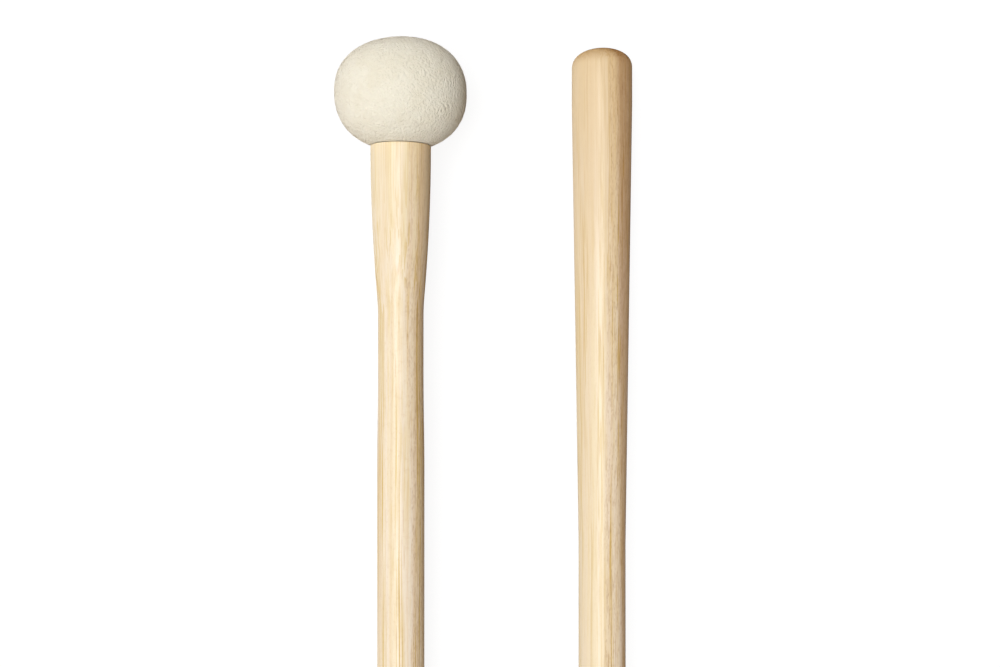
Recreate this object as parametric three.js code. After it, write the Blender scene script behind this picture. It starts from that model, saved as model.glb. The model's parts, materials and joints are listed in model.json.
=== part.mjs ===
// Two bass drum mallets lying side by side on a table, with their heads at opposite ends.
// Each is a hickory stick, turned in one piece, with a pressed wool felt head glued on its tenon.
// Lengths are in millimetres. +Z is up from the table, +Y runs from the left mallet's butt to its head,
// and the origin is on the table under the middle of the pair.

import * as THREE from 'three';

// Whole mallet
const malletLength = 368;
const malletSpacing = 61;

// Butt end: a full dome, sanded flat at its tip
const buttDiameter = 18.5;
const buttDomeReach = 5.7;
const buttDomeRoundnessShare = 2.27;
const buttFlatDiameter = 4;

// Grip and the long taper in front of it
const gripLength = 17;
const taperLength = 134;
const middleDiameter = 14.2;

// Waist and flared neck under the head
const waistDiameter = 13.6;
const waistLength = 20;
const waistEaseLength = 29;
const neckDiameter = 18;
const neckFlareLength = 48;
const kneeBlendLength = 3;
const shoulderChamfer = 0.4;

// Tenon that the head is glued on
const tenonDiameter = 11;
const tenonLength = 21;
const tenonChamfer = 1;

// Felt head: a squashed ball, widest a little above its middle, cut flat at the seat and at the crown
const headDiameter = 39.3;
const headCrownReach = 15.9;
const headSeatReach = 16.7;
const headRoundnessShare = 2.27;
const crownFlatDiameter = 6.8;
const seatOverhang = 0.25;
const boreMouthChamfer = 0.5;
const drillPointAngle = THREE.MathUtils.degToRad(118);

// Clearances
const seatClearance = 0.2;
const boreClearance = 0.5;
const boreEndClearance = 1;
const glueClearance = 0.1;

// Fineness of the curves
const facetCount = 40;
const domeSteps = 8;
const flareSteps = 8;
const easeSteps = 6;
const kneeSteps = 3;
const headSteps = 14;

// Radii
const buttRadius = buttDiameter / 2;
const buttFlatRadius = buttFlatDiameter / 2;
const middleRadius = middleDiameter / 2;
const waistRadius = waistDiameter / 2;
const neckRadius = neckDiameter / 2;
const tenonRadius = tenonDiameter / 2;
const headRadius = headDiameter / 2;
const crownFlatRadius = crownFlatDiameter / 2;
const seatRadius = neckRadius + seatOverhang;
const boreRadius = tenonRadius + boreClearance;

// Places along a mallet, measured from its butt end
const buttDomeEnd = buttDomeReach * riseShareAt(buttFlatRadius / buttRadius, buttDomeRoundnessShare);
const headMiddle = malletLength - headCrownReach * riseShareAt(crownFlatRadius / headRadius, headRoundnessShare);
const seat = headMiddle - headSeatReach * riseShareAt(seatRadius / headRadius, headRoundnessShare);
const shoulder = seat - seatClearance;
const tenonEnd = shoulder + tenonLength;
const boreEnd = tenonEnd + boreEndClearance;
const drillPointDepth = boreRadius / Math.tan(drillPointAngle / 2);
const knee = shoulder - neckFlareLength;
const waistStart = knee - waistLength;
const easeStart = waistStart - waistEaseLength;

// One outline point: distance from the axis, then distance from the butt end
function point(radius, along) {
  return new THREE.Vector2(radius, along);
}

// The outline between the two ends of a stretch, from a function of the share covered
function stretch(steps, pointAt) {
  return Array.from({ length: steps + 1 }, (_, i) => pointAt(i / steps));
}

// How far a rounded end rises over its widest plane, as a share of its reach, at this share of its radius.
// A roundness of 2 is an ellipse, and more than that is fuller.
function riseShareAt(radiusShare, roundnessShare) {
  return Math.pow(1 - Math.pow(radiusShare, roundnessShare), 1 / roundnessShare);
}

// A rounded end from the flat that cuts it to its widest plane. Towards is 1 or -1, the way it points.
function roundedEnd(steps, radius, reach, roundnessShare, flatRadius, widest, towards) {
  const flatAngle = Math.asin(flatRadius / radius);
  return stretch(steps, (share) => {
    const radiusShare = Math.sin(THREE.MathUtils.lerp(flatAngle, Math.PI / 2, share));
    return point(radius * radiusShare, widest + towards * reach * riseShareAt(radiusShare, roundnessShare));
  });
}

// Butt dome, from the flat at its tip to the grip
function buttDome() {
  const dome = roundedEnd(
    domeSteps, buttRadius, buttDomeReach, buttDomeRoundnessShare, buttFlatRadius, buttDomeEnd, -1);
  return [point(0, 0), ...dome];
}

// Grip, straight taper and the even middle of the stick
function gripAndTaper() {
  return [
    point(buttRadius, gripLength),
    point(middleRadius, gripLength + taperLength),
    point(middleRadius, easeStart),
  ];
}

// The middle eases down into the waist
function waistEase() {
  const ease = stretch(easeSteps, (share) => {
    const radius = THREE.MathUtils.lerp(middleRadius, waistRadius, THREE.MathUtils.smoothstep(share, 0, 1));
    return point(radius, easeStart + waistEaseLength * share);
  });
  return ease.slice(1);
}

// The neck flares from the waist along a parabola that is upright at the shoulder,
// and its knee with the waist is rounded over. Away is the share of the flare that lies between it and a point.
function neckFlare() {
  const rise = neckRadius - waistRadius;
  const flareAt = (away) => point(neckRadius - rise * away * away, shoulder - neckFlareLength * away);
  const lowest = 1 - kneeBlendLength / neckFlareLength;
  const highest = shoulderChamfer / neckFlareLength;
  const blendEnd = flareAt(lowest);
  const blendCorner = point(waistRadius, shoulder - neckFlareLength * (1 + lowest * lowest) / (2 * lowest));
  const blendStart = point(waistRadius, 2 * blendCorner.y - blendEnd.y);
  const blend = new THREE.QuadraticBezierCurve(blendStart, blendCorner, blendEnd).getPoints(kneeSteps);
  const flare = stretch(flareSteps, (share) => flareAt(THREE.MathUtils.lerp(lowest, highest, share)));
  return [...blend, ...flare.slice(1)];
}

// Shoulder under the felt, and the tenon above it
function shoulderAndTenon() {
  return [
    point(neckRadius - shoulderChamfer, shoulder),
    point(tenonRadius, shoulder),
    point(tenonRadius, tenonEnd - tenonChamfer),
    point(tenonRadius - tenonChamfer, tenonEnd),
    point(0, tenonEnd),
  ];
}

function shaftOutline() {
  return [...buttDome(), ...gripAndTaper(), ...waistEase(), ...neckFlare(), ...shoulderAndTenon()];
}

// Squashed ball from the edge of the seat up to the edge of the crown
function headBall() {
  const ballHalf = (reach, flatRadius, towards) =>
    roundedEnd(headSteps, headRadius, reach, headRoundnessShare, flatRadius, headMiddle, towards);
  const upper = ballHalf(headCrownReach, crownFlatRadius, 1);
  return [...ballHalf(headSeatReach, seatRadius, -1), ...upper.reverse().slice(1)];
}

// Blind bore with the drill's cone at its end, then the seat, the ball and the crown
function feltHeadOutline() {
  return [
    point(0, boreEnd + drillPointDepth),
    point(boreRadius, boreEnd),
    point(boreRadius, seat + boreMouthChamfer),
    point(boreRadius + boreMouthChamfer, seat),
    ...headBall(),
    point(0, malletLength),
  ];
}

// Cured glue between the tenon and the bore: a thin cup that also fills the drill's cone
function glueSleeveOutline() {
  const inner = tenonRadius + glueClearance;
  const outer = boreRadius - glueClearance;
  const coneSlope = Math.tan(drillPointAngle / 2);
  return [
    point(0, tenonEnd + glueClearance),
    point(inner - tenonChamfer, tenonEnd + glueClearance),
    point(inner, tenonEnd + glueClearance - tenonChamfer),
    point(inner, seat),
    point(outer, seat),
    point(outer, boreEnd - glueClearance),
    point(0, boreEnd - glueClearance + outer / coneSlope),
  ];
}

// A turned solid, with a flat facet underneath so that it lies still
function turned(name, outline, material) {
  const geometry = new THREE.LatheGeometry(outline, facetCount, Math.PI / facetCount);
  const mesh = new THREE.Mesh(geometry, material);
  mesh.name = name;
  return mesh;
}

// The straight line from butt to head that the mallet lies on, as a radius at the butt and a slope.
// It is the one through two points of the outline that is furthest out at mid length.
function restingLine(outline) {
  const middle = malletLength / 2;
  const flatShare = Math.cos(Math.PI / facetCount);
  let line = { slope: 0, reach: 0 };
  for (const low of outline.filter((p) => p.y < middle)) {
    for (const high of outline.filter((p) => p.y > middle)) {
      const slope = flatShare * (high.x - low.x) / (high.y - low.y);
      const reach = flatShare * low.x + slope * (middle - low.y);
      if (reach > line.reach) {
        line = { slope, reach };
      }
    }
  }
  return { slope: line.slope, atButt: line.reach - line.slope * middle };
}

const hickory = new THREE.MeshStandardMaterial({ color: 0xe9d3a8, roughness: 0.42, metalness: 0 });
const woolFelt = new THREE.MeshStandardMaterial({ color: 0xeee5d2, roughness: 0.95, metalness: 0 });
const curedGlue = new THREE.MeshStandardMaterial({ color: 0xd8c493, roughness: 0.3, metalness: 0 });

// One mallet, lying on its felt head and the rim of its butt, with its middle over the origin
function makeMallet(side) {
  const mallet = new THREE.Group();
  mallet.add(
    turned(`${side}_shaft`, shaftOutline(), hickory),
    turned(`${side}_felt_head`, feltHeadOutline(), woolFelt),
    turned(`${side}_glue_sleeve`, glueSleeveOutline(), curedGlue),
  );
  const line = restingLine([...shaftOutline(), ...feltHeadOutline()]);
  const tilt = Math.atan(line.slope);
  mallet.rotation.x = tilt;
  mallet.position.set(-malletSpacing / 2, -malletLength / 2 * Math.cos(tilt), line.atButt * Math.cos(tilt));
  return mallet;
}

// The right mallet is the left one turned end for end about the middle of the pair
const leftSide = new THREE.Group();
const rightSide = new THREE.Group();
leftSide.add(makeMallet('left'));
rightSide.add(makeMallet('right'));
rightSide.rotation.z = Math.PI;

const pair = new THREE.Group();
pair.add(leftSide, rightSide);

export default pair;
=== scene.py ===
import json
import math

import bpy
from mathutils import Matrix, Vector


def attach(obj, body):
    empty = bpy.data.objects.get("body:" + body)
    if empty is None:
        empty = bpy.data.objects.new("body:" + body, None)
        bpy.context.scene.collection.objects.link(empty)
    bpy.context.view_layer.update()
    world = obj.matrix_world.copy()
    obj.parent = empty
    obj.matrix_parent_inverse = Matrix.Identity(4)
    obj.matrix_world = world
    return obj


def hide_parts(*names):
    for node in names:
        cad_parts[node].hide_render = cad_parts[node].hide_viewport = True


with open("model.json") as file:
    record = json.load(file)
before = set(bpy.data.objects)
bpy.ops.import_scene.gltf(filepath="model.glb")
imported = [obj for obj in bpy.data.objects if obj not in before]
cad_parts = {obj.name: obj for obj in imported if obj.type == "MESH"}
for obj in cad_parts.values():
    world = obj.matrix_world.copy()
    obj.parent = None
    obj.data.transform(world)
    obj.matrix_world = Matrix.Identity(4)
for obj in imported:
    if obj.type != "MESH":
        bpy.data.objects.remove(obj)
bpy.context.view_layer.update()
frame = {"nodes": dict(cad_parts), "record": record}


# Camera
# The photograph looks straight down on the table from about a third of a metre. Its middle lies a tenth
# of a metre from the middle of the pair, towards the left mallet's head, which points up the picture.
camera_place = (-0.0007, 0.0966, 0.339)
camera_turn = math.radians(0.15)
sensor_width = 36
focal_length_in_pixels = 1070
picture_width_in_pixels = 1000
nearest_seen = 0.01

camera_data = bpy.data.cameras.new("camera")
camera_data.sensor_width = sensor_width
camera_data.lens = sensor_width * focal_length_in_pixels / picture_width_in_pixels
camera_data.clip_start = nearest_seen
camera = bpy.data.objects.new("camera", camera_data)
camera.location = camera_place
camera.rotation_euler = (0, 0, camera_turn)
bpy.context.scene.collection.objects.link(camera)
bpy.context.scene.camera = camera


# Sticks
# Each stick is one piece of straight-grained hickory, turned and sanded, under a thin satin lacquer.
# From its domed butt it runs through grip, taper, waist and flared neck to the tenon inside the head.
butt_radius = 0.00925
butt_dome_reach = 0.0057
butt_dome_roundness = 2.27
butt_flat_radius = 0.002
grip_length = 0.017
taper_length = 0.134
middle_radius = 0.0071
waist_radius = 0.0068
waist_length = 0.020
waist_ease_length = 0.029
neck_radius = 0.009
neck_flare_length = 0.048
knee_blend_length = 0.003
shoulder_rounding = 0.0004
tenon_radius = 0.0055
tenon_length = 0.021
tenon_chamfer = 0.001

# How many steps each stretch of the outline has, and how finely the stick is turned
dome_steps = 24
grip_steps = 4
taper_steps = 24
middle_steps = 20
waist_ease_steps = 12
waist_steps = 6
knee_steps = 8
flare_steps = 36
shoulder_steps = 3
stick_facets = 144
stick_sharp_angle = math.radians(35)

# An outline is swept round a core too thin to see, and points this close together are then joined
core_radius = 0.0000001
joining_reach_in_core_radii = 4


def mallet_place(side):
    """Where a mallet lies: Z runs along it from its butt end, Y points up, and X to its left."""
    mount = next(m for m in frame["record"]["mounts"] if m["name"] == f"{side}_butt_end")
    along = -Vector(mount["axis"])
    left = Vector((0, 0, 1)).cross(along).normalized()
    turn = Matrix((left, along.cross(left), along)).transposed().to_4x4()
    return Matrix.Translation(mount["pos_m"]) @ turn


places = {side: mallet_place(side) for side in ("left", "right")}


def reach_along(node):
    """The lowest and highest distance of a CAD node from the butt end of its mallet."""
    to_mallet = places[node.split("_")[0]].inverted()
    heights = [(to_mallet @ vertex.co).z for vertex in frame["nodes"][node].data.vertices]
    return min(heights), max(heights)


def mix(low, high, share):
    """The value that lies this share of the way from low to high."""
    return low + (high - low) * share


def stretch(steps, point_at):
    """The points of a stretch of outline, from a function of the share of it that is covered."""
    return [point_at(step / steps) for step in range(steps + 1)]


def onwards(steps, point_at):
    """A stretch without its first point, which the stretch before it has made."""
    return stretch(steps, point_at)[1:]


def straight(steps, start, end):
    """A straight stretch onwards from a point that is already there."""
    return onwards(steps, lambda share: (mix(start[0], end[0], share), mix(start[1], end[1], share)))


def rise_at(radius_share, roundness):
    """How far a rounded end rises at a share of its radius. Roundness 2 is an ellipse, more is fuller."""
    return max(0.0, 1 - radius_share ** roundness) ** (1 / roundness)


def rounded_end(steps, radius, reach, roundness, flat_radius, widest):
    """The outline of a rounded end from the flat that cuts it to its widest plane."""
    flat_angle = math.asin(flat_radius / radius)

    def point_at(share):
        radius_share = math.sin(mix(flat_angle, math.pi / 2, share))
        return radius * radius_share, widest + reach * rise_at(radius_share, roundness)

    return stretch(steps, point_at)


def stick_outline(tenon_end):
    """Radius and distance from the butt end, from the middle of the butt flat to that of the tenon."""
    shoulder = tenon_end - tenon_length
    knee = shoulder - neck_flare_length
    waist_start = knee - waist_length
    ease_start = waist_start - waist_ease_length
    taper_end = grip_length + taper_length
    dome_end = butt_dome_reach * rise_at(butt_flat_radius / butt_radius, butt_dome_roundness)
    dome = rounded_end(
        dome_steps, butt_radius, -butt_dome_reach, butt_dome_roundness, butt_flat_radius, dome_end)

    def ease_at(share):
        smooth = share * share * (3 - 2 * share)
        return mix(middle_radius, waist_radius, smooth), ease_start + waist_ease_length * share

    def flare_at(away):
        narrowing = (neck_radius - waist_radius) * away ** 2
        return neck_radius - narrowing, shoulder - neck_flare_length * away

    lowest = 1 - knee_blend_length / neck_flare_length
    highest = shoulder_rounding / neck_flare_length
    blend_end = flare_at(lowest)
    corner = shoulder - neck_flare_length * (1 + lowest ** 2) / (2 * lowest)
    blend_start = 2 * corner - blend_end[1]

    def knee_at(share):
        radius = (1 - share) * waist_radius + share * mix(waist_radius, blend_end[0], share)
        return radius, mix(mix(blend_start, corner, share), mix(corner, blend_end[1], share), share)

    def shoulder_at(share):
        turn = share * math.pi / 2
        return (neck_radius - shoulder_rounding * (1 - math.cos(turn)),
                shoulder - shoulder_rounding * (1 - math.sin(turn)))

    return [
        (0, 0),
        *dome,
        *straight(grip_steps, (butt_radius, dome_end), (butt_radius, grip_length)),
        *straight(taper_steps, (butt_radius, grip_length), (middle_radius, taper_end)),
        *straight(middle_steps, (middle_radius, taper_end), (middle_radius, ease_start)),
        *onwards(waist_ease_steps, ease_at),
        *straight(waist_steps, (waist_radius, waist_start), (waist_radius, blend_start)),
        *onwards(knee_steps, knee_at),
        *onwards(flare_steps, lambda share: flare_at(mix(lowest, highest, share))),
        *onwards(shoulder_steps, shoulder_at),
        (tenon_radius, shoulder),
        (tenon_radius, tenon_end - tenon_chamfer),
        (tenon_radius - tenon_chamfer, tenon_end),
        (0, tenon_end),
    ]


class Field:
    """A number, colour or vector that changes over a piece. Ordinary maths on it adds Math nodes."""

    def __init__(self, nodes, socket):
        self.nodes = nodes
        self.socket = socket

    def __add__(self, other):
        return self.nodes.maths("ADD", self, other)

    def __radd__(self, other):
        return self.nodes.maths("ADD", other, self)

    def __sub__(self, other):
        return self.nodes.maths("SUBTRACT", self, other)

    def __rsub__(self, other):
        return self.nodes.maths("SUBTRACT", other, self)

    def __mul__(self, other):
        return self.nodes.maths("MULTIPLY", self, other)

    def __rmul__(self, other):
        return self.nodes.maths("MULTIPLY", other, self)

    def __truediv__(self, other):
        return self.nodes.maths("DIVIDE", self, other)

    def __pow__(self, other):
        return self.nodes.maths("POWER", self, other)

    def __gt__(self, other):
        return self.nodes.maths("GREATER_THAN", self, other)

    def part_of_whole(self):
        return self.nodes.maths("FRACT", self)


class Nodes:
    """Writes the nodes of one shader or geometry tree."""

    def __init__(self, tree):
        self.tree = tree

    def add(self, kind, settings=None, inputs=None, output=0):
        """Adds a node, its settings first, and then the values or links of its sockets."""
        node = self.tree.nodes.new(kind)
        for name, value in (settings or {}).items():
            setattr(node, name, value)
        for key, value in (inputs or {}).items():
            socket = self.socket(node.inputs, key)
            if isinstance(value, Field):
                self.tree.links.new(value.socket, socket)
            else:
                socket.default_value = value
        return Field(self, self.socket(node.outputs, output)) if node.outputs else node

    def maths(self, operation, *values):
        return self.add("ShaderNodeMath", {"operation": operation}, dict(enumerate(values)))

    def socket(self, sockets, key):
        shown = [socket for socket in sockets if socket.enabled]
        if isinstance(key, int):
            return shown[key]
        return next(socket for socket in shown if socket.name == key)

    def rise(self, value, start, end, low=0.0, high=1.0):
        """Goes smoothly from low to high while the value goes from start to end."""
        sockets = {"Value": value, "From Min": start, "From Max": end, "To Min": low, "To Max": high}
        return self.add("ShaderNodeMapRange", {"interpolation_type": "SMOOTHSTEP"}, sockets)

    def blend(self, share, first, second):
        """A colour that goes from the first to the second as the share goes from 0 to 1."""
        sockets = {"Factor": share, "A": first, "B": second}
        return self.add("ShaderNodeMix", {"data_type": "RGBA"}, sockets)

    def stain(self, share, colour_under, tint):
        """A colour that a tint darkens, in full where the share is 1."""
        sockets = {"Factor": share, "A": colour_under, "B": tint}
        return self.add("ShaderNodeMix", {"data_type": "RGBA", "blend_type": "MULTIPLY"}, sockets)

    def vector(self, x, y, z):
        return self.add("ShaderNodeCombineXYZ", None, {"X": x, "Y": y, "Z": z})

    def parts(self, vector):
        return [self.add("ShaderNodeSeparateXYZ", None, {"Vector": vector}, axis) for axis in "XYZ"]

    def scaled(self, vector, factor):
        sockets = {"Vector": vector, "Scale": factor}
        return self.add("ShaderNodeVectorMath", {"operation": "SCALE"}, sockets)

    def sum(self, first, second):
        return self.add("ShaderNodeVectorMath", {"operation": "ADD"}, {0: first, 1: second})

    def noise(self, vector, detail=2.0, roughness=0.5, output=0):
        sockets = {"Vector": vector, "Scale": 1.0, "Detail": detail, "Roughness": roughness}
        return self.add("ShaderNodeTexNoise", None, sockets, output)


def group_inputs(tree, sockets):
    """Declares a geometry tree's inputs and its one output, and gives the inputs by name."""
    for name, kind in sockets.items():
        tree.interface.new_socket(name=name, in_out="INPUT", socket_type=kind)
    tree.interface.new_socket(name="Result", in_out="OUTPUT", socket_type="NodeSocketGeometry")
    nodes = Nodes(tree)
    return nodes, {name: nodes.add("NodeGroupInput", None, None, name) for name in sockets}


def end_tree(nodes, geometry, material):
    """Ends a geometry tree in real faces of one material."""
    real = nodes.add("GeometryNodeRealizeInstances", None, {"Geometry": geometry})
    finished = nodes.add("GeometryNodeSetMaterial", None, {"Geometry": real, "Material": material})
    nodes.add("NodeGroupOutput", None, {"Result": finished})


def lathe_tree():
    """Turns an outline, with its radius along X and its length along Y, about the Z axis."""
    tree = bpy.data.node_groups.new("lathe", "GeometryNodeTree")
    nodes, given = group_inputs(tree, {
        "Outline": "NodeSocketGeometry",
        "Facets": "NodeSocketInt",
        "Core radius": "NodeSocketFloat",
        "Material": "NodeSocketMaterial",
    })
    profile = nodes.add("GeometryNodeMeshToCurve", None, {"Mesh": given["Outline"]})
    core = nodes.add("GeometryNodeCurvePrimitiveCircle", None, {
        "Resolution": given["Facets"], "Radius": given["Core radius"]})
    turned = nodes.add("GeometryNodeCurveToMesh", None, {"Curve": core, "Profile Curve": profile})
    upright = nodes.add("GeometryNodeTransform", None, {"Geometry": turned, "Rotation": (math.pi, 0, 0)})
    closed = nodes.add("GeometryNodeMergeByDistance", None, {
        "Geometry": upright, "Distance": given["Core radius"] * joining_reach_in_core_radii})
    end_tree(nodes, closed, given["Material"])
    return tree


def outline_piece(name, outline, skin=None):
    """A piece that is still a bare outline. Skin marks the stretches that show when it is finished."""
    mesh = bpy.data.meshes.new(name)
    steps = [(i, i + 1) for i in range(len(outline) - 1)]
    mesh.from_pydata([(radius, along, 0) for radius, along in outline], steps, [])
    if skin:
        mesh.attributes.new("skin", "FLOAT", "POINT").data.foreach_set("value", skin)
    piece = bpy.data.objects.new(name, mesh)
    bpy.context.scene.collection.objects.link(piece)
    return piece


def run_tree(piece, tree, values):
    """Puts a geometry tree on a piece, with its sizes."""
    modifier = piece.modifiers.new(tree.name, "NODES")
    modifier.node_group = tree
    for item in tree.interface.items_tree:
        if item.in_out == "INPUT" and item.name in values:
            modifier[item.identifier] = values[item.name]


def finish_piece(piece, place, sharp_angle):
    """Turns what the trees made into the piece's own mesh, and lays it where its mallet lies."""
    depsgraph = bpy.context.evaluated_depsgraph_get()
    mesh = bpy.data.meshes.new_from_object(piece.evaluated_get(depsgraph))
    piece.modifiers.clear()
    piece.data = mesh
    mesh.transform(place)
    mesh.shade_smooth()
    mesh.set_sharp_from_angle(angle=sharp_angle)


def new_material(name):
    material = bpy.data.materials.new(name)
    material.use_nodes = True
    material.node_tree.nodes.clear()
    return material, Nodes(material.node_tree)


def mallet_coordinates(nodes, place):
    """Object coordinates, turned so that Z runs along the mallet from its butt end."""
    to_mallet = place.inverted()
    spot = nodes.add("ShaderNodeTexCoord", None, None, "Object")
    return nodes.add("ShaderNodeMapping", None, {
        "Vector": spot, "Location": to_mallet.translation, "Rotation": to_mallet.to_euler()})


def colour(red, green, blue):
    """A colour as it shows on screen, from 0 to 255, as the light that it sends back."""
    shares = (value / 255 for value in (red, green, blue))
    light = [s / 12.92 if s <= 0.04045 else ((s + 0.055) / 1.055) ** 2.4 for s in shares]
    return (*light, 1.0)


# Growth rings about a pith that lies well outside the stick. They slant a little, drift and vary in
# width. A span gives the value where something starts to show, and then the one where it shows in full.
pith_distance = 0.046
# The pith lies towards each stick's flank away from the lamp, so the heartwood there is partly painted
# shade.
pith_angles = {"left": math.radians(205), "right": math.radians(-38)}
ring_width = 0.0021
ring_slant = 0.004
ring_drift = 0.0018
ring_drift_width = 0.02
ring_drift_length = 0.15
ring_unevenness = 1.3
ring_unevenness_width = 0.004
ring_unevenness_length = 0.4
early_wood_start_span = (0.0, 0.08)
early_wood_end_span = (0.5, 0.2)
late_wood_start_span = (0.55, 0.94)
late_wood_end_span = (1.0, 0.97)

# Darker heartwood on the side towards the pith, with a fainter border. That side is each stick's flank
# away from the lamp, so this darkening is partly the wood's own colour and partly painted shade. The edges
# are distances from the pith, and a stretch says where along the stick the heartwood is faint, and then
# where it is strong.
heart_and_shade_edges = {"left": 0.0463, "right": 0.0505}
heart_and_shade_depths = {"left": 0.0014, "right": 0.0028}
heart_and_shade_narrowings = {"left": 0.0, "right": 0.0165}
heart_and_shade_faint_shares = {"left": 0.4, "right": 0.75}
heart_and_shade_stretches = {"left": (0.22, 0.31), "right": (0.3, 0.05)}
border_edges = {"left": (0.0465, 0.049), "right": (0.0514, 0.0514)}
border_span = (0.0004, -0.0006)

# Marks of the grain: the width and length of each, its span, and how strongly it shows
column_size = (0.0017, 0.14)
column_span = (0.36, 0.64)
late_wood_strength = 0.35
fibre_size = (0.0009, 0.028)
fibre_noise_detail = 3
fibre_noise_roughness = 0.65
fibre_span = (0.46, 0.72)
fibre_strength = 0.65
thread_size = (0.00034, 0.045)
thread_span = (0.54, 0.59)
threaded_patch_size = (0.003, 0.2)
threaded_patch_span = (0.45, 0.58)
pore_rim_span = (0.5, 0.2)
pore_chance_span = (0.3, 0.65)
long_pore_size = (0.0005, 0.011)
long_pore_strength = 0.6
pored_patch_size = (0.003, 0.04)
pored_patch_span = (0.36, 0.62)
short_pore_size = (0.00042, 0.0015)
short_pore_shift = 5.0
short_pore_strength = 0.05
short_pore_strength_in_border = 0.25
dash_size = (0.0005, 0.0045)
dash_span = (0.48, 0.64)
dash_strength = 0.08
dash_strength_in_border = 0.3
fleck_depth = 0.0016
fleck_width = 0.0006
fleck_length = 0.0011
fleck_span = (0.52, 0.75)
fleck_strength = 0.25
fine_mark_noise_roughness = 0.6

# Colours of the bare wood, and the tints that darken it
cool_wood = colour(250, 237, 218)
warm_wood = colour(250, 236, 208)
fresh_wood = colour(252, 240, 216)
# Tanner wood over the grip, towards the butt end
tanner_grip_wood = colour(238, 214, 173)
# Heartwood tints, partly the wood's colour and partly painted shade on the flank away from the lamp
heart_and_shade_tints = {"left": (0.9, 0.835, 0.75, 1), "right": (0.69, 0.57, 0.47, 1)}
# The border's fainter tint, also partly painted shade on that flank
border_and_shade_tint = (0.955, 0.92, 0.88, 1)
late_wood_tint = colour(243, 228, 198)
fibre_tint = colour(244, 233, 194)
thread_tint = colour(233, 217, 158)
long_pore_tint = colour(222, 192, 138)
fleck_tint = colour(238, 224, 202)
dash_tint = colour(212, 190, 158)
short_pore_tint = colour(206, 180, 148)
plain_wood_tint = colour(253, 250, 240)
# Painted shade on the butt's dome, darker towards its tip
dome_shade_tint = colour(226, 208, 183)
# The end grain's own darker colour, with painted shade along the outline of the tip
end_grain_and_shade_tint = colour(160, 122, 86)

# Stretches of the stick, as distances from its butt end, over which the wood changes its look:
# fresh wood on the neck, away from the pith, tanner wood on the grip, and plain wood that shows
# few marks. The last two are painted shade on the butt's dome, and the end grain on its flat, which
# is partly its own darker colour and partly painted shade along the tip's outline.
fresh_neck_stretch = (0.27, 0.33)
fresh_wood_span = (0.0475, 0.0515)
fresh_wood_strength = 0.35
tanner_grip_stretch = (0.115, 0.0)
tanner_grip_strength = 0.85
plain_neck_stretch = (0.27, 0.33)
plain_neck_share = 0.74
plain_neck_share_lost_in_border = 0.35
plain_grip_stretch = (0.085, 0.02)
plain_grip_share = 0.32
plain_shares = {"left": 0.0, "right": 0.45}
plain_share_lost_in_border = 0.7
plain_wood_tint_stretch = (0.03, 0.11)
dome_shade_stretch = (0.0065, 0.0008)
end_grain_and_shade_stretch = (0.0016, 0.0001)

# Relief and lacquer, which is thinner in the open grain and on the dome
relief_strength = 0.35
relief_height = 0.00006
long_pore_relief = 0.8
short_pore_relief = 0.3
fibre_relief = 0.5
wood_roughness_span = (0.3, 0.8)
wood_roughness_range = (0.4, 0.5)
long_pore_roughness = 0.15
lacquer_span = (0.3, 0.7)
lacquer_range = (0.115, 0.045)
lacquer_stretch = (0.0, 0.012)
lacquer_share_range = (0.3, 1.0)


def wood_axes(nodes, side):
    """Distance from the pith, across the rings, then distance round it, and distance along the stick."""
    x, y, along = nodes.parts(mallet_coordinates(nodes, places[side]))
    angle = pith_angles[side]
    pith_x = pith_distance * math.cos(angle)
    pith_y = pith_distance * math.sin(angle)
    drift_place = nodes.vector(x / ring_drift_width, y / ring_drift_width, along / ring_drift_length)
    drift = nodes.noise(drift_place) - 0.5
    straight_distance = ((x - pith_x) ** 2 + (y - pith_y) ** 2) ** 0.5
    from_pith = straight_distance + drift * ring_drift + along * ring_slant
    around = x * math.sin(angle) - y * math.cos(angle)
    return from_pith, around, along


def ring_woods(nodes, axes):
    """How far each place lies in the early wood and in the late wood of its year's ring."""
    from_pith, _, along = axes
    uneven_place = nodes.vector(from_pith / ring_unevenness_width, 0.0, along / ring_unevenness_length)
    uneven = nodes.noise(uneven_place, detail=1) - 0.5
    ring_share = (from_pith / ring_width + uneven * ring_unevenness).part_of_whole()

    def between(start_span, end_span):
        return nodes.rise(ring_share, *start_span) * nodes.rise(ring_share, *end_span)

    early_wood = between(early_wood_start_span, early_wood_end_span)
    late_wood = between(late_wood_start_span, late_wood_end_span)
    return early_wood, late_wood


def heartwood_and_shade(nodes, side, axes):
    """How far each place lies in the dark heartwood, which is partly painted shade on the flank away
    from the lamp, and how far inside the edge of its border.
    """
    from_pith, _, along = axes
    heart_and_shade_edge = heart_and_shade_edges[side]
    narrowed = from_pith + along * heart_and_shade_narrowings[side]
    heart_and_shade_share = nodes.rise(along, *heart_and_shade_stretches[side], heart_and_shade_faint_shares[side], 1.0)
    heart_and_shade = nodes.rise(narrowed, heart_and_shade_edge, heart_and_shade_edge - heart_and_shade_depths[side]) * heart_and_shade_share
    border_edge = nodes.rise(along, *heart_and_shade_stretches[side], *border_edges[side])
    border = nodes.rise(from_pith - border_edge, *border_span)
    return heart_and_shade, border


def grain(nodes, axes, size, detail=2.0, roughness=0.5):
    """Noise drawn out along the wood."""
    from_pith, around, along = axes
    width, length = size
    grain_place = nodes.vector(from_pith / width, around / width, along / length)
    return nodes.noise(grain_place, detail, roughness)


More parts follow.
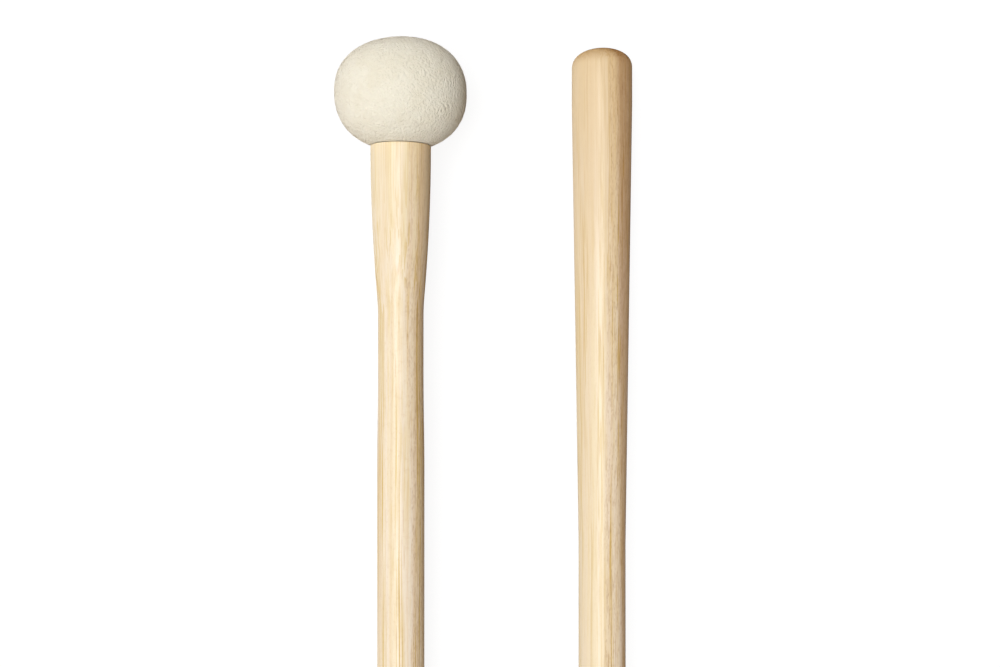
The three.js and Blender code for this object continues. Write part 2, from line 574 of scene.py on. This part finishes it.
def pores(nodes, axes, size, shift):
    """Pores drawn out along the wood, each at a chance of its own."""
    from_pith, around, along = axes
    width, length = size
    pore_place = nodes.vector(from_pith / width + shift, around / width, along / length)
    cells = {"Vector": pore_place, "Scale": 1.0}
    from_middle = nodes.add("ShaderNodeTexVoronoi", None, cells, "Distance")
    chance = nodes.parts(nodes.add("ShaderNodeTexVoronoi", None, cells, "Color"))[0]
    return nodes.rise(from_middle, *pore_rim_span) * nodes.rise(chance, *pore_chance_span)


def unmarked_wood(nodes, side, axes, heart_and_shade, border):
    """The colour of the wood before the marks of its grain."""
    from_pith, _, along = axes
    pale = nodes.blend(nodes.rise(grain(nodes, axes, column_size), *column_span), cool_wood, warm_wood)
    fresh_share = nodes.rise(along, *fresh_neck_stretch) * nodes.rise(from_pith, *fresh_wood_span)
    fresh = nodes.blend(fresh_share * fresh_wood_strength, pale, fresh_wood)
    # The wood turns tanner over the grip, towards the butt end.
    tanner_grip_share = nodes.rise(along, *tanner_grip_stretch)
    grip_toned = nodes.blend(tanner_grip_share * tanner_grip_strength, fresh, tanner_grip_wood)
    # The border and the heartwood darken the flank away from the lamp: partly the wood's colour, partly
    # painted shade.
    bordered = nodes.stain(border, grip_toned, border_and_shade_tint)
    return nodes.stain(heart_and_shade, bordered, heart_and_shade_tints[side])


def marked_wood(nodes, axes, unmarked, border, late_wood, fibre, long_pores, short_pores):
    """The colour of the wood with all the marks of its grain, one stained over the other."""
    from_pith, around, along = axes
    thread = nodes.rise(grain(nodes, axes, thread_size, detail=0), *thread_span)
    threaded_patches = nodes.rise(grain(nodes, axes, threaded_patch_size, detail=1), *threaded_patch_span)
    dashes = nodes.rise(grain(nodes, axes, dash_size, roughness=fine_mark_noise_roughness), *dash_span)
    fleck_place = nodes.vector(from_pith / fleck_depth, around / fleck_width, along / fleck_length)
    flecks = nodes.rise(nodes.noise(fleck_place, roughness=fine_mark_noise_roughness), *fleck_span)
    marks = [
        (late_wood * late_wood_strength, late_wood_tint),
        (nodes.rise(fibre, *fibre_span) * fibre_strength, fibre_tint),
        (thread * threaded_patches, thread_tint),
        (long_pores * long_pore_strength, long_pore_tint),
        (flecks * fleck_strength, fleck_tint),
        (dashes * (border * dash_strength_in_border + dash_strength), dash_tint),
        (short_pores * (border * short_pore_strength_in_border + short_pore_strength), short_pore_tint),
    ]
    marked = unmarked
    for share, tint in marks:
        marked = nodes.stain(share, marked, tint)
    return marked


def plainness(nodes, side, along, border):
    """How little the marks show: on the neck and near the butt, and anywhere on a plainer stick."""
    on_neck = nodes.rise(along, *plain_neck_stretch) * plain_neck_share
    elsewhere = nodes.rise(along, *plain_grip_stretch) * plain_grip_share + plain_shares[side]
    return (on_neck * (1 - border * plain_neck_share_lost_in_border)
            + elsewhere * (1 - border * plain_share_lost_in_border))


def hickory(side):
    """Wood with rings, rows of long pores in their early wood, golden threads, bordered heartwood that
    is partly painted shade on the flank away from the lamp, and painted shade on the dome.
    """
    material, nodes = new_material(f"{side}_hickory")
    axes = wood_axes(nodes, side)
    _, _, along = axes
    early_wood, late_wood = ring_woods(nodes, axes)
    heart_and_shade, border = heartwood_and_shade(nodes, side, axes)
    pored_patches = nodes.rise(grain(nodes, axes, pored_patch_size, detail=1), *pored_patch_span)
    long_pores = pores(nodes, axes, long_pore_size, 0.0) * early_wood * pored_patches
    short_pores = pores(nodes, axes, short_pore_size, short_pore_shift)
    fibre = grain(nodes, axes, fibre_size, fibre_noise_detail, fibre_noise_roughness)

    unmarked = unmarked_wood(nodes, side, axes, heart_and_shade, border)
    marked = marked_wood(nodes, axes, unmarked, border, late_wood, fibre, long_pores, short_pores)
    plain = nodes.stain(nodes.rise(along, *plain_wood_tint_stretch), unmarked, plain_wood_tint)
    grained = nodes.blend(plainness(nodes, side, along, border), marked, plain)
    # Painted shade on the dome, then the end grain with more painted shade at the tip
    dome_shaded = nodes.stain(nodes.rise(along, *dome_shade_stretch), grained, dome_shade_tint)
    ended = nodes.stain(nodes.rise(along, *end_grain_and_shade_stretch), dome_shaded, end_grain_and_shade_tint)

    hollowed = 1.0 - long_pores * long_pore_relief - short_pores * short_pore_relief
    relief = nodes.add("ShaderNodeBump", None, {
        "Strength": relief_strength,
        "Distance": relief_height,
        "Height": hollowed + fibre * fibre_relief,
    })
    wood_roughness = nodes.rise(fibre, *wood_roughness_span, *wood_roughness_range)
    lacquer = nodes.rise(fibre, *lacquer_span, *lacquer_range)
    lacquer_share = nodes.rise(along, *lacquer_stretch, *lacquer_share_range)
    shader = nodes.add("ShaderNodeBsdfPrincipled", None, {
        "Base Color": ended,
        "Roughness": wood_roughness + long_pores * long_pore_roughness,
        "Diffuse Roughness": 0.5,
        "Specular IOR Level": 0.0,
        "Coat Weight": lacquer * lacquer_share,
        "Coat Roughness": 0.33,
        "Coat IOR": 4.0,
        "Normal": relief,
    })
    nodes.add("ShaderNodeOutputMaterial", None, {"Surface": shader})
    return material


lathe = lathe_tree()
for side, place in places.items():
    stick = outline_piece(f"{side}_turned_stick", stick_outline(reach_along(f"{side}_shaft")[1]))
    run_tree(stick, lathe, {
        "Facets": stick_facets, "Core radius": core_radius, "Material": hickory(side)})
    finish_piece(stick, place, stick_sharp_angle)
    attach(stick, f"{side}_mallet")
    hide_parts(f"{side}_shaft")


# Glue
# A thin cup of cured glue fills the room between each tenon and its bore, and holds the head on.
# It is hidden once the mallet is together.
glue_cloud_size = 0.0025
glue_cloud_detail = 3
glue_colour_span = (0.35, 0.7)
light_amber = colour(214, 188, 130)
dark_amber = colour(190, 156, 92)
glue_roughness_span = (0.3, 0.7)
glue_roughness_range = (0.22, 0.4)


def cured_glue(side):
    """Amber glue, a little darker in clouds."""
    material, nodes = new_material(f"{side}_cured_glue")
    spot = mallet_coordinates(nodes, places[side])
    cloud = nodes.noise(nodes.scaled(spot, 1 / glue_cloud_size), glue_cloud_detail)
    shader = nodes.add("ShaderNodeBsdfPrincipled", None, {
        "Base Color": nodes.blend(nodes.rise(cloud, *glue_colour_span), light_amber, dark_amber),
        "Roughness": nodes.rise(cloud, *glue_roughness_span, *glue_roughness_range),
        "IOR": 1.47,
    })
    nodes.add("ShaderNodeOutputMaterial", None, {"Surface": shader})
    return material


for side in places:
    sleeve = frame["nodes"][f"{side}_glue_sleeve"]
    sleeve.data.materials.clear()
    sleeve.data.materials.append(cured_glue(side))


# Felt heads
# Each head is a block of hard pressed wool felt, turned and sanded to a squashed ball, cut flat at the
# seat and the crown, and bored for the tenon. Its surface stays faintly lumpy, with a short raised nap.
head_radius = 0.01965
head_crown_reach = 0.0159
head_seat_reach = 0.0167
head_roundness = 2.27
crown_flat_radius = 0.0034
seat_overhang = 0.00025
seat_edge_softness = 0.0003
bore_clearance = 0.0005
bore_end_clearance = 0.001
bore_mouth_chamfer = 0.0005
drill_point_angle = math.radians(118)
crown_leans = {"left": -0.034, "right": 0.012}

# How many steps each stretch of the outline has, and how finely the head is turned
bore_steps = 6
ball_half_steps = 100
crown_flat_steps = 12
head_facets = 384
head_sharp_angle = math.radians(50)

# Lumps and nap that stand on the ball
lump_size = 0.0034
lump_height = 0.00005
lump_detail = 1
nap_size = 0.0009
nap_height = 0.000028
nap_detail = 2
felting_noise_roughness = 0.55
felt_seeds = {"left": 3.7, "right": 11.2}

# Colours of the wool, and the size, span and strength of what varies them
clean_wool = colour(248, 243, 228)
creamy_wool = colour(245, 239, 222)
cloud_size = 0.006
cloud_span = (0.35, 0.65)
mottled_wool = colour(233, 224, 206)
mottle_size = 0.0011
mottle_span = (0.45, 0.75)
mottle_strength = 0.04
layered_wool = colour(229, 220, 201)
layer_width = 0.004
layer_thickness = 0.0007
layer_span = (0.5, 0.75)
layer_strength = 0.06
# Painted shade in the hollows of the pebbled nap, which the relief also uses
pit_shade_wool = colour(221, 209, 188)
pebble_size = 0.00068
pit_shade_span = (0.45, 0.25)
pit_shade_strength = 0.02

# Relief of the pebbled nap, the pile on it and the mottles under it
felt_relief_strength = 0.9
felt_relief_height = 0.00056
pile_size = 0.00016
pile_height_share = 0.15
mottle_height_share = 0.5
felt_roughness_span = (0.3, 0.7)
felt_roughness_range = (0.98, 0.88)


def felt_outline(seat, crown, tenon_end):
    """The outline from the drill's cone by bore, seat and ball to the crown, and which points are skin."""
    middle = crown - head_crown_reach * rise_at(crown_flat_radius / head_radius, head_roundness)
    bore_radius = tenon_radius + bore_clearance
    bore_end = tenon_end + bore_end_clearance
    seat_radius = neck_radius + seat_overhang
    bore = [
        (0, bore_end + bore_radius / math.tan(drill_point_angle / 2)),
        (bore_radius, bore_end),
        *straight(bore_steps, (bore_radius, bore_end), (bore_radius, seat + bore_mouth_chamfer)),
        (bore_radius + bore_mouth_chamfer, seat),
        (seat_radius - seat_edge_softness, seat),
    ]

    def ball_half(reach, flat_radius):
        return rounded_end(ball_half_steps, head_radius, reach, head_roundness, flat_radius, middle)

    lower = ball_half(-head_seat_reach, seat_radius + seat_edge_softness)
    upper = ball_half(head_crown_reach, crown_flat_radius)
    crown_flat = straight(crown_flat_steps, (crown_flat_radius, crown), (0, crown))
    skin = [*lower, *upper[-2::-1], *crown_flat]
    return bore + skin, [0.0] * len(bore) + [1.0] * len(skin)


def felting_tree():
    """Makes a turned head's skin lumpy and napped, and lets its crown lean a little."""
    tree = bpy.data.node_groups.new("felting", "GeometryNodeTree")
    nodes, given = group_inputs(tree, {
        "Head": "NodeSocketGeometry",
        "Middle": "NodeSocketFloat",
        "Crown reach": "NodeSocketFloat",
        "Lean": "NodeSocketFloat",
        "Lump size": "NodeSocketFloat",
        "Lump height": "NodeSocketFloat",
        "Nap size": "NodeSocketFloat",
        "Nap height": "NodeSocketFloat",
        "Seed": "NodeSocketFloat",
        "Material": "NodeSocketMaterial",
    })
    x, y, along = nodes.parts(nodes.add("GeometryNodeInputPosition"))
    skin = nodes.add("GeometryNodeInputNamedAttribute", {"data_type": "FLOAT"}, {"Name": "skin"})
    over_middle = nodes.maths("MAXIMUM", (along - given["Middle"]) / given["Crown reach"], 0.0)
    lean = x * given["Lean"] * over_middle ** 2 * skin

    def bumps(size, detail, seed):
        """Bumps from -1 to 1."""
        bump_place = nodes.vector(x / size + seed, y / size, along / size)
        return (nodes.noise(bump_place, detail, felting_noise_roughness) - 0.5) * 2

    height = (bumps(given["Lump size"], lump_detail, given["Seed"]) * given["Lump height"]
              + bumps(given["Nap size"], nap_detail, given["Seed"] * 2) * given["Nap height"]) * skin
    outwards = nodes.scaled(nodes.add("GeometryNodeInputNormal"), height)
    offset = nodes.sum(outwards, nodes.vector(0.0, 0.0, lean))
    felted = nodes.add("GeometryNodeSetPosition", None, {"Geometry": given["Head"], "Offset": offset})
    end_tree(nodes, felted, given["Material"])
    return tree


def wool_felt(side):
    """Off-white wool: all but even in colour, with a fine pebbled nap that shows where light grazes it,
    and faint painted shade in its hollows.
    """
    material, nodes = new_material(f"{side}_wool_felt")
    x, y, along = nodes.parts(mallet_coordinates(nodes, places[side]))
    seed = felt_seeds[side]

    def wool(width, thickness, detail):
        wool_place = nodes.vector(x / width + seed, y / width, along / thickness)
        return nodes.noise(wool_place, detail)

    cloud = wool(cloud_size, cloud_size, detail=2)
    mottle = wool(mottle_size, mottle_size, detail=2)
    layers = wool(layer_width, layer_thickness, detail=2)
    pebbles = wool(pebble_size, pebble_size, detail=1)
    pile = wool(pile_size, pile_size, detail=1)

    base = nodes.blend(nodes.rise(cloud, *cloud_span), clean_wool, creamy_wool)
    mottled = nodes.blend(nodes.rise(mottle, *mottle_span) * mottle_strength, base, mottled_wool)
    layered = nodes.blend(nodes.rise(layers, *layer_span) * layer_strength, mottled, layered_wool)
    # Painted shade in the hollows of the pebbles
    pit_shaded = nodes.blend(nodes.rise(pebbles, *pit_shade_span) * pit_shade_strength, layered, pit_shade_wool)

    relief = nodes.add("ShaderNodeBump", None, {
        "Strength": felt_relief_strength,
        "Distance": felt_relief_height,
        "Height": pebbles + pile * pile_height_share + mottle * mottle_height_share,
    })
    shader = nodes.add("ShaderNodeBsdfPrincipled", None, {
        "Base Color": pit_shaded,
        "Roughness": nodes.rise(pebbles, *felt_roughness_span, *felt_roughness_range),
        "Diffuse Roughness": 0.55,
        "Specular IOR Level": 0.1,
        "Sheen Weight": 0.05,
        "Sheen Roughness": 0.6,
        "Normal": relief,
    })
    nodes.add("ShaderNodeOutputMaterial", None, {"Surface": shader})
    return material


felting = felting_tree()
heads = {}
for side, place in places.items():
    seat, crown = reach_along(f"{side}_felt_head")
    outline, skin = felt_outline(seat, crown, reach_along(f"{side}_shaft")[1])
    felt = wool_felt(side)
    head = outline_piece(f"{side}_felt_ball", outline, skin)
    run_tree(head, lathe, {"Facets": head_facets, "Core radius": core_radius, "Material": felt})
    run_tree(head, felting, {
        "Middle": crown - head_crown_reach, "Crown reach": head_crown_reach, "Lean": crown_leans[side],
        "Lump size": lump_size, "Lump height": lump_height,
        "Nap size": nap_size, "Nap height": nap_height, "Seed": felt_seeds[side], "Material": felt})
    finish_piece(head, place, head_sharp_angle)
    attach(head, f"{side}_mallet")
    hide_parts(f"{side}_felt_head")
    heads[side] = head


# Loose wool
# Sanding leaves short ends of wool standing on the felt. They lie nearly flat all over the ball,
# each held at one end in the felt, with the other end just clear of it.
wisps_per_square_metre = 1250000
wisp_length = 0.0011
smallest_wisp_scale = 0.35
largest_wisp_scale = 1.5
wisp_thickness = 0.00004
wisp_tip_narrowing = 0.6
wisp_rise = 0.00013
wisp_wave = 0.00022
wisp_wave_detail = 1
wisp_steps = 5
wisp_sides = 3
wisp_seeds = {"left": 0, "right": 1}
wisp_tint_size = 0.0012
wisp_tint_span = (0.3, 0.7)
pale_wisp = colour(248, 242, 227)
warm_wisp = colour(240, 230, 209)


def scattered_strands(nodes, given):
    """Straight strands at random places on a head's skin, each flat on it and turned its own way."""
    skin = nodes.add("GeometryNodeInputNamedAttribute", {"data_type": "FLOAT"}, {"Name": "skin"})
    points = nodes.add("GeometryNodeDistributePointsOnFaces", None, {
        "Mesh": given["Head"], "Selection": skin > 0.5, "Density": given["Density"],
        "Seed": given["Seed"]}, "Points")
    flat = Field(nodes, points.socket.node.outputs["Rotation"])
    turn = nodes.add("FunctionNodeRandomValue", None, {"Max": math.tau, "Seed": given["Seed"]}, "Value")
    spin = nodes.add("FunctionNodeAxisAngleToRotation", None, {"Axis": (0, 0, 1), "Angle": turn})
    lie = nodes.add("FunctionNodeRotateRotation", {"rotation_space": "LOCAL"}, {
        "Rotation": flat, "Rotate By": spin})
    scale = nodes.add("FunctionNodeRandomValue", None, {
        "Min": given["Smallest scale"], "Max": given["Largest scale"],
        "Seed": given["Seed"] + 1}, "Value")
    line = nodes.add("GeometryNodeCurvePrimitiveLine", None, {
        "End": nodes.vector(given["Length"], 0.0, 0.0)})
    stepped = nodes.add("GeometryNodeResampleCurve", None, {"Curve": line, "Count": given["Steps"] + 1})
    laid = nodes.add("GeometryNodeInstanceOnPoints", None, {
        "Points": points, "Instance": stepped, "Rotation": lie,
        "Scale": nodes.vector(scale, scale, scale)})
    return nodes.add("GeometryNodeRealizeInstances", None, {"Geometry": laid})


def drawn_to_felt(nodes, given, strands, covered):
    """Makes strands wavy and draws them down to the felt, from which they rise towards their tips."""
    position = nodes.add("GeometryNodeInputPosition")
    noise = nodes.noise(nodes.scaled(position, 1 / wisp_length), wisp_wave_detail, output="Color")
    centred = nodes.sum(noise, (-0.5, -0.5, -0.5))
    swayed = nodes.sum(position, nodes.scaled(centred, given["Wave"] * 2))
    felt_spot = nodes.add("GeometryNodeProximity", {"target_element": "FACES"}, {
        "Geometry": given["Head"], "Sample Position": swayed}, "Position")
    felt_normal = nodes.add("GeometryNodeSampleNearestSurface", {"data_type": "FLOAT_VECTOR"}, {
        "Mesh": given["Head"], "Value": nodes.add("GeometryNodeInputNormal"), "Sample Position": swayed})
    liveliness = nodes.parts(noise)[0] * 2
    height = given["Rise"] * covered ** 2 * liveliness
    raised = nodes.sum(felt_spot, nodes.scaled(felt_normal, height))
    return nodes.add("GeometryNodeSetPosition", None, {"Geometry": strands, "Position": raised})


def wisp_tree():
    """Scatters wavy wisps over a head's skin, lays each along the felt, and narrows it to its tip."""
    tree = bpy.data.node_groups.new("loose wool", "GeometryNodeTree")
    nodes, given = group_inputs(tree, {
        "Head": "NodeSocketGeometry",
        "Density": "NodeSocketFloat",
        "Length": "NodeSocketFloat",
        "Smallest scale": "NodeSocketFloat",
        "Largest scale": "NodeSocketFloat",
        "Thickness": "NodeSocketFloat",
        "Tip narrowing": "NodeSocketFloat",
        "Rise": "NodeSocketFloat",
        "Wave": "NodeSocketFloat",
        "Steps": "NodeSocketInt",
        "Sides": "NodeSocketInt",
        "Seed": "NodeSocketInt",
        "Material": "NodeSocketMaterial",
    })
    covered = nodes.add("GeometryNodeSplineParameter")
    narrowed = 1.0 - covered * given["Tip narrowing"]
    strands = drawn_to_felt(nodes, given, scattered_strands(nodes, given), covered)
    tapered = nodes.add("GeometryNodeSetCurveRadius", None, {"Curve": strands, "Radius": narrowed})
    section = nodes.add("GeometryNodeCurvePrimitiveCircle", None, {
        "Resolution": given["Sides"], "Radius": given["Thickness"] / 2})
    wisps = nodes.add("GeometryNodeCurveToMesh", None, {
        "Curve": tapered, "Profile Curve": section, "Scale": narrowed, "Fill Caps": True})
    end_tree(nodes, wisps, given["Material"])
    return tree


def loose_wool(side):
    """Bare ends of wool, a little warmer here and there."""
    material, nodes = new_material(f"{side}_loose_wool")
    x, y, along = nodes.parts(mallet_coordinates(nodes, places[side]))
    tint_place = nodes.vector(x / wisp_tint_size, y / wisp_tint_size, along / wisp_tint_size)
    warmth = nodes.rise(nodes.noise(tint_place, detail=1), *wisp_tint_span)
    shader = nodes.add("ShaderNodeBsdfPrincipled", None, {
        "Base Color": nodes.blend(warmth, pale_wisp, warm_wisp),
        "Roughness": 0.8,
        "Specular IOR Level": 0.2,
    })
    nodes.add("ShaderNodeOutputMaterial", None, {"Surface": shader})
    return material


wisps_of = wisp_tree()
for side, head in heads.items():
    wool = bpy.data.objects.new(f"{side}_loose_wool", head.data.copy())
    bpy.context.scene.collection.objects.link(wool)
    run_tree(wool, wisps_of, {
        "Density": wisps_per_square_metre, "Length": wisp_length,
        "Smallest scale": smallest_wisp_scale, "Largest scale": largest_wisp_scale,
        "Thickness": wisp_thickness, "Tip narrowing": wisp_tip_narrowing,
        "Rise": wisp_rise, "Wave": wisp_wave, "Steps": wisp_steps, "Sides": wisp_sides,
        "Seed": wisp_seeds[side], "Material": loose_wool(side)})
    finish_piece(wool, Matrix.Identity(4), math.pi)
    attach(wool, f"{side}_mallet")


# Table
# The pair lies on a plain white table, which runs past every side of the picture.
# The camera and reflections see it white but for the mallets' shadows, and it sends less light back up.
# Away from the pair it glows a little more, so that it meets the white room with no line.
table_size = 6.0
table_top = -0.0002
near_glow = 0.9
far_glow = 1.0
glow_stretch = (0.4, 1.2)
seen_shade = colour(112, 112, 112)
returned_shade = colour(167, 143, 114)


def seen_rays(nodes):
    """1 for what the camera, reflections and glass see of a background, and 0 for the light it sends."""
    seen = [nodes.add("ShaderNodeLightPath", None, None, name)
            for name in ("Is Camera Ray", "Is Glossy Ray", "Is Transmission Ray")]
    return nodes.maths("MINIMUM", seen[0] + seen[1] + seen[2], 1.0)


def white_table():
    """White as it is seen, but for the mallets' shadows, and a warm grey in the light that it returns."""
    material, nodes = new_material("white_table")
    x, y, _ = nodes.parts(nodes.add("ShaderNodeTexCoord", None, None, "Object"))
    from_pair = (x ** 2 + y ** 2) ** 0.5
    glow = nodes.rise(from_pair, *glow_stretch, near_glow, far_glow)
    lit = nodes.add("ShaderNodeEmission", None, {
        "Color": nodes.vector(glow, glow, glow), "Strength": 1.0})
    shaded = nodes.add("ShaderNodeBsdfDiffuse", None, {"Color": seen_shade})
    seen_table = nodes.add("ShaderNodeAddShader", None, {0: shaded, 1: lit})
    returned = nodes.add("ShaderNodeBsdfDiffuse", None, {"Color": returned_shade})
    surface = nodes.add("ShaderNodeMixShader", None, {0: seen_rays(nodes), 1: returned, 2: seen_table})
    nodes.add("ShaderNodeOutputMaterial", None, {"Surface": surface})
    return material


table_mesh = bpy.data.meshes.new("table")
edge = table_size / 2
corners = [(-edge, -edge, table_top), (edge, -edge, table_top), (edge, edge, table_top),
           (-edge, edge, table_top)]
table_mesh.from_pydata(corners, [], [(0, 1, 2, 3)])
table_mesh.materials.append(white_table())
table = bpy.data.objects.new("table", table_mesh)
bpy.context.scene.collection.objects.link(table)


# Light
# A broad soft lamp hangs over the pair and to the left of it, with weaker ones beyond the two ends,
# and a faint warm room fills the rest. Behind the table the room looks white.
fill_colour = (1.0, 0.8, 0.57, 1)
fill_strength = 0.02
seen_room_colour = (1, 1, 1, 1)


def soft_lamp(name, place, aim, width, length, power):
    """A rectangular lamp that shines from its place towards its aim, and that the camera doesn't see."""
    data = bpy.data.lights.new(name, "AREA")
    data.shape = "RECTANGLE"
    data.size = width
    data.size_y = length
    data.energy = power
    lamp = bpy.data.objects.new(name, data)
    lamp.location = place
    from_aim = Vector(place) - Vector(aim)
    lamp.rotation_euler = from_aim.to_track_quat("Z", "Y").to_euler()
    lamp.visible_camera = False
    bpy.context.scene.collection.objects.link(lamp)


soft_lamp(
    "overhead_lamp", place=(-0.31, 0.02, 1.3), aim=(-0.31, 0.02, 0.0), width=0.8, length=1.3, power=18.6)
soft_lamp("far_lamp", place=(-0.1, 1.2, 0.5), aim=(0.0, 0.05, 0.0), width=1.2, length=0.6, power=1.0)
soft_lamp("near_lamp", place=(-0.1, -1.1, 0.5), aim=(0.0, 0.05, 0.0), width=1.2, length=0.6, power=2.6)

world = bpy.data.worlds.new("room")
world.use_nodes = True
world.node_tree.nodes.clear()
nodes = Nodes(world.node_tree)
seen_room = nodes.add("ShaderNodeBackground", None, {"Color": seen_room_colour, "Strength": 1.0})
fill = nodes.add("ShaderNodeBackground", None, {"Color": fill_colour, "Strength": fill_strength})
room = nodes.add("ShaderNodeMixShader", None, {0: seen_rays(nodes), 1: fill, 2: seen_room})
nodes.add("ShaderNodeOutputWorld", None, {"Surface": room})
bpy.context.scene.world = world
bpy.context.scene.view_settings.view_transform = "Standard"
